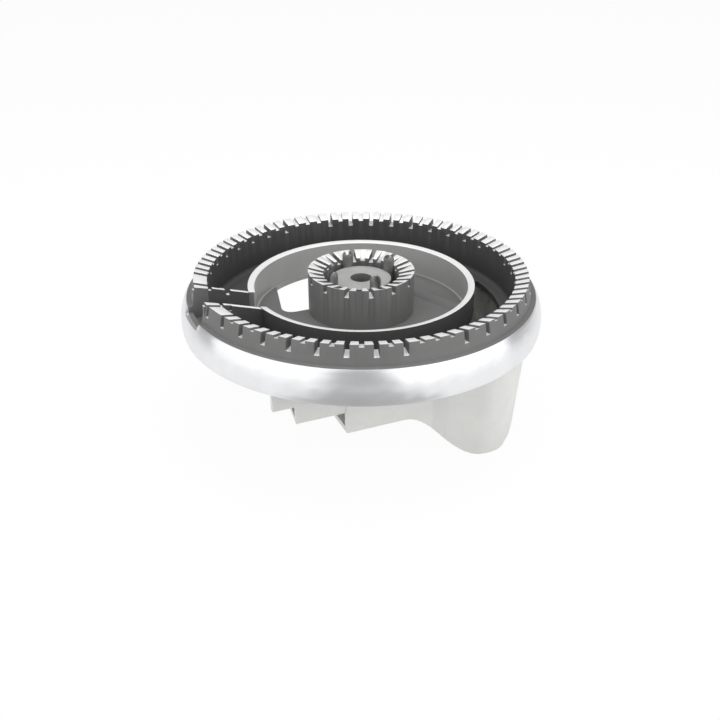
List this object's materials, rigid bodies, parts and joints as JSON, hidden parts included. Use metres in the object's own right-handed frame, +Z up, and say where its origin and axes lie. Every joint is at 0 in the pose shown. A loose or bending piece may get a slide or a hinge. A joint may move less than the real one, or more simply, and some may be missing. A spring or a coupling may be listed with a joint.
{
  "type": "gas burner body",
  "caption": "Cast aluminium gas burner body with a slotted outer ring crown, a small slotted centre crown, a radial slot, a turned band and a gas duct and riser underneath.",
  "frame": {"origin": "centre of the upper rim of the centre hole, in the top of the middle disc, on the ring axis", "axes": "+Z up along the ring axis, -X along the open radial slot, -Y towards the side with the gas duct"},
  "size_m": [0.1349, 0.1348, 0.0617],
  "materials": {
    "cast_aluminium": "blasted casting with a turned band and milled tooth tops"
  },
  "bodies": {
    "root": {"burner_body": "cast_aluminium"}
  },
  "joints": []
}
